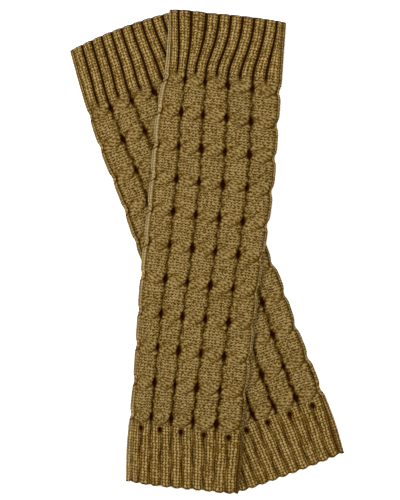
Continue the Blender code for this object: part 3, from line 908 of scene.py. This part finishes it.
def cable_knit(warmer, column, along, crossing=None):
    # Relief, form, painted shading, strand and stitch place of cables. Of the two strands one runs
    # over and one under at each crossing, and between crossings they lie side by side
    cable, place = np.floor(column / CABLE_STITCHES), column % CABLE_STITCHES
    rows = rows_at(warmer, along, column)
    cells = rows / CELL_ROWS
    crossing = np.round(cells) if crossing is None else crossing
    offset = cells - crossing
    valley = np.round(column / CABLE_STITCHES)
    size = 1.0 + HOLE_UNEVEN * wave(valley, turn=2.9, which=crossing, step=4.1)
    from_hole = np.abs(offset) * CELL_ROWS / (HOLE_ROWS * size)
    closed = 1.0 - bell(from_hole, 1.0)
    margin = CABLE_MARGIN + HOLE_MARGIN * size * (1.0 - closed)
    across = (place - margin) / (CABLE_STITCHES - 2 * margin)
    turn = 2.0 * smooth(0.5 + 0.5 * offset / CROSSING_REACH) - 1.0
    near = smooth(CROSSING_CORE - np.abs(offset) / CROSSING_REACH)
    half = STRAND_HALF + STRAND_SPREAD * near
    over_middle, under_middle = 0.5 - 0.25 * turn, 0.5 + 0.25 * turn
    over_away, under_away = (across - over_middle) / half, (across - under_middle) / half
    parted = smooth(1.0 - np.abs(offset) / PARTED_REACH)
    whole = dome(2.0 * across - 1.0, CABLE_SHARPNESS)
    over_back, under_back = dome(over_away, STRAND_SHARPNESS), dome(under_away, STRAND_SHARPNESS)
    rise = (whole + (over_back - whole) * parted) * (1.0 + STRAND_RISE * near)
    sunk = (whole + (under_back - whole) * parted) * (1.0 - STRAND_SINK * near)
    on_cable = (across > 0.0) & (across < 1.0)
    back = np.where(on_cable, np.maximum(rise, sunk), 0.0)
    form = np.clip(back, 0.0, 1.0)
    beside = np.abs(over_away) > np.abs(under_away)
    layer = np.where(parted > 0.0, rise <= sunk, beside).astype(int)
    at_left = at_fold(column)[0]
    resting = np.maximum(back, VALLEY_REST * closed)
    resting = resting + (1.0 - np.minimum(resting, 1.0)) * SLACK_AT_FOLD * at_left
    relief = CABLE_HEIGHT * resting - VALLEY_CARVE * (1.0 - np.minimum(resting, 1.0))
    # The valley is a fine line of painted shade, wider and narrower, that opens to a lozenge of
    # painted shade at a crossing, also carved a little into the relief
    on_front = valley % (FRONT_STITCHES / CABLE_STITCHES) != 0
    slow = wave(rows, turn=0.9, which=valley, step=2.1)
    quick = wave(rows, turn=2.1, which=valley, step=3.7)
    sway = VALLEY_SWAY * (slow + QUICK_SWAY * quick) * closed * on_front
    from_valley = np.abs(column - valley * CABLE_STITCHES - sway)
    lozenge = (from_valley / (HOLE_STITCHES * size)) ** HOLE_CORNERS + from_hole**HOLE_CORNERS
    rough = wave(rows, turn=3.7, which=valley, step=5.0) * np.sin(4.3 * column)
    lozenge = lozenge + HOLE_ROUGH * rough
    hole = smooth((HOLE_END - lozenge) / HOLE_SOFT)
    relief = relief - HOLE_CARVE * hole * (form < HOLE_FORM)
    uneven = wave(rows, turn=2.3, which=valley, step=3.1)
    uneven = uneven * wave(rows, turn=0.8, which=valley, step=1.0)
    uneven = VALLEY_KEPT + VALLEY_UNEVEN * uneven
    last = smooth((cells - LAST_CELL) / LAST_CELL_LENGTH)
    width = VALLEY_LINE * warmer["line"] * (1.0 + LAST_WIDER * last)
    line = uneven * (1.0 + LAST_DARKER * last) * bell(from_valley, width)
    skirt = VALLEY_SKIRT * warmer["line"] * np.exp(-from_valley / VALLEY_SKIRT_WIDTH)
    early = 1.0 - smooth((rows - EARLY_START) / EARLY_ROWS)
    line = np.maximum(np.maximum(line, skirt), early * bell(from_valley, EARLY_WIDTH))
    # The strand that passes over casts a painted shadow on the other beside it, most on its lower
    # right
    beyond = over_away * np.sign(offset + AT_CROSSING) - 1.0
    arc = bell(beyond, np.where(beyond > 0, ARC_OUTSIDE, ARC_INSIDE))
    soft = ARC_SHADE * np.exp(-np.maximum(beyond, 0.0) / ARC_SHADE) * (beyond > 0)
    arc = near**0.5 * (arc + soft) * np.where(offset > 0, 1.0, ARC_ABOVE) * ARC_PAINTED_SHADOW * on_cable
    # That strand's back gets a little painted highlight, where no painted shade darkens it
    raised = PILLOW_PAINTED_HIGHLIGHT * near * (layer == 0) * dome(over_away, 2.0)
    fade = fold_fade(warmer, along, column)
    painted_shading = np.maximum(np.maximum(line * fade, arc), hole * (0.5 + 0.5 * fade))
    painted_shading = painted_shading - raised * (1.0 - np.minimum(painted_shading / PILLOW_CLEAR, 1.0))
    shift = CABLE_STITCHES * cable + 1.0
    over_u = shift + 0.5 * STRAND_STITCHES * (over_away + 1.0)
    under_u = shift + 0.5 * STRAND_STITCHES * (under_away + 1.0)
    over_v = rows - ROW_TILT * near * np.clip(over_away, -1.0, 1.0)
    under_v = rows + ROW_TILT * near * np.clip(under_away, -1.0, 1.0)
    # Above its crossing a strand lies on one side and below it on the other
    strands = [
        (over_u + STRAND_STITCHES, over_v), (under_u, under_v),
        (over_u, over_v), (under_u + STRAND_STITCHES, under_v),
    ]
    return relief, form, np.clip(painted_shading, -1.0, 1.0), layer + 2 * (turn >= 0.0), strands


def leg_knit(warmer, column, along, crossing=None):
    # The cuffs' ribs run on a little way and fade into the cables
    relief, form, painted_shading, layer, strands = cable_knit(warmer, column, along, crossing)
    rib_relief, rib, rib_painted_shading, _, rib_strand = rib_knit(warmer, column, along)
    top = 1.0 - smooth((along - TOP_CUFF_END) / RIBS_FADE)
    bottom = smooth((along - (LEG_END - RIBS_START)) / RIBS_START)
    share = np.maximum(top, bottom)
    relief = relief + (rib_relief - relief) * share
    form = form + (rib - form) * share
    painted_shading = np.maximum(painted_shading, np.maximum(painted_shading, 0.0) * (1.0 - share) + rib_painted_shading * share)
    return relief, form, painted_shading, np.where(share > 0.5, 4, layer), strands + rib_strand


# The leg's looser stitches take a little less light than the cuffs', painted as darker colours of
# the same yarn
LEG_YARN = (0.069, 0.0378, 0.0050, 1)
LEG_LIGHT = (0.179, 0.127, 0.0505, 1)

leg_yarn = yarn_material("leg_yarn", YARN_SHADE, LEG_YARN, LEG_LIGHT)
leg_columns = knit_columns(cable_columns(), CABLE_STITCHES)
knit_tube(under, "leg", leg_knit, leg_columns, TOP_CUFF_END, LEG_END, leg_yarn)


# The under warmer's bottom cuff is ribbed like the top one and knitted on in the same yarn, and
# it ends the tube at the ankle. Its ribs are softer, with a row of small eyelets where they start,
# and its edge is a row of small tabs, one to each rib.
knit_tube(under, "bottom_cuff", rib_knit, cuff_columns, LEG_END, under["length"], cuff_yarn)


# The over warmer's top cuff is the same ribbed band in the same yarn, with its ribs fanned over
# to the right at the mouth. The whole warmer is laid across the under one, not fixed to it, and
# drapes off it on both sides down to the floor.
PAIR_GAP = 0.3
DRAPE_START = 1.0
DRAPE_WIDTH = 30.0
UNDER_THICKNESS = 8.15


def over_drape(x, y):
    # How far the over warmer is lifted by the under one at a place of the floor
    fall = smooth((outside_of(under, x, y) - DRAPE_START) / DRAPE_WIDTH)
    return (UNDER_THICKNESS + PAIR_GAP) * (1.0 - fall)


over = dict(
    name="over", line=1.0, top=(18.5, 213.4), tilt=math.radians(-5.58), length=428.3,
    first_crossing=60.0, cell=31.0, top_bow=2.2, bottom_bow=1.8, phase=0.0,
    along=(0, 25, 50, 75, 100, 140, 180, 220, 260, 300, 340, 375, 400, 428.3),
    left=(-53.2, -52.4, -52.0, -54.8, -56.6, -56.1, -56.0, -56.3, -56.3, -55.2, -54.0, -54.1,
          -53.8, -51.6),
    right=(53.6, 54.2, 55.0, 55.6, 56.2, 57.2, 55.9, 53.3, 52.1, 51.6, 50.6, 50.2, 51.6, 51.2),
    drift=(0, -3.0, -6.5, -4.2, -2.8, -1.4, -0.8, 0, -1.6, -3.0, -4.0, -4.0, -2.0, 0),
    row_shift=(1.5, 0.6, 0.2, -0.9, -1.75, -2.4, -2.3, -2.1, -1.9, -1.4, -1.5),
    row_tilt=(0.6, 0.55, 0.4, 0.7, 1.0, 0.95, 1.0, 0.6, 0.6, 0.0, -0.1),
    left_valley=(1.4, 4.2, 4.4, 3.8, 2.8, 4.0, 5.0),
    right_valley=(2.0, 2.1, 2.1, 2.2, 2.6, 1.6, 1.4),
    left_line=(0.8, 0.7, 0.7, 0.6, 0.1, 0.5, 0.9),
    right_line=(0.6, 0.7, 0.8, 0.8, 0.7, 1.0, 1.0),
    left_painted_light=(1.0, 1.5, 1.5, 1.3, 0.8, 0.9, 1.0),
    right_painted_light=(0.3, 0.3, 0.3, 0.3, 0.3, -0.6, -0.8),
    top_valleys=(2.3, 8.9, 20.3, 34.0, 45.4, 56.2, 66.9, 77.4, 87.8, 98.1, 103.0),
    bottom_valleys=(2.3, 10.6, 20.8, 31.0, 41.0, 51.0, 60.8, 70.4, 80.2, 90.2, 100.4),
    drape=over_drape, rests_on=["under_leg_cloth", "floor"],
)
knit_tube(over, "top_cuff", rib_knit, cuff_columns, 0.0, TOP_CUFF_END, cuff_yarn)


# The over warmer's leg carries the same five rope cables on each side, knitted on from its top
# cuff in the same yarn. Its left fold turns up to the light as a band of painted light, and its
# rows of crossings run a little aslant.
knit_tube(over, "leg", leg_knit, leg_columns, TOP_CUFF_END, LEG_END, leg_yarn)


# The over warmer's bottom cuff ends its tube at the ankle, with the same soft ribs, eyelets and
# tabs as the under one's, knitted on in the same yarn.
knit_tube(over, "bottom_cuff", rib_knit, cuff_columns, LEG_END, over["length"], cuff_yarn)


# The light is plain and soft, as in a studio: a wide key from the upper left, a fill from the
# lower right and a white surround.
world = bpy.data.worlds.new("studio")
bpy.context.scene.world = world
world.use_nodes = True
surround = world.node_tree.nodes["Background"]
surround.inputs["Color"].default_value = (1.0, 1.0, 1.0, 1)
surround.inputs["Strength"].default_value = 1.0


def soft_light(name, place, size, power):
    # A round lamp that faces the middle of the pair
    data = bpy.data.lights.new(name, "AREA")
    data.shape, data.size, data.energy = "DISK", size, power
    light = bpy.data.objects.new(name, data)
    light.location = place
    light.rotation_mode = "QUATERNION"
    light.rotation_quaternion = light.location.to_track_quat("Z", "Y")
    bpy.context.scene.collection.objects.link(light)


soft_light("key", place=(-0.7, 0.45, 1.1), size=0.6, power=23.6)
soft_light("fill", place=(0.75, -0.35, 1.1), size=1.0, power=12.5)


# The camera looks straight down on the pair from 1.27 m through a long lens, as in the photo, a
# little to the left of its middle.
camera_data = bpy.data.cameras.new("camera")
camera_data.lens = 100.0
camera_data.sensor_width = 36.0
camera = bpy.data.objects.new("camera", camera_data)
camera.location = (-0.00675, 0.00165, 1.2705)
bpy.context.scene.collection.objects.link(camera)
bpy.context.scene.camera = camera
bpy.context.scene.view_settings.view_transform = "Standard"
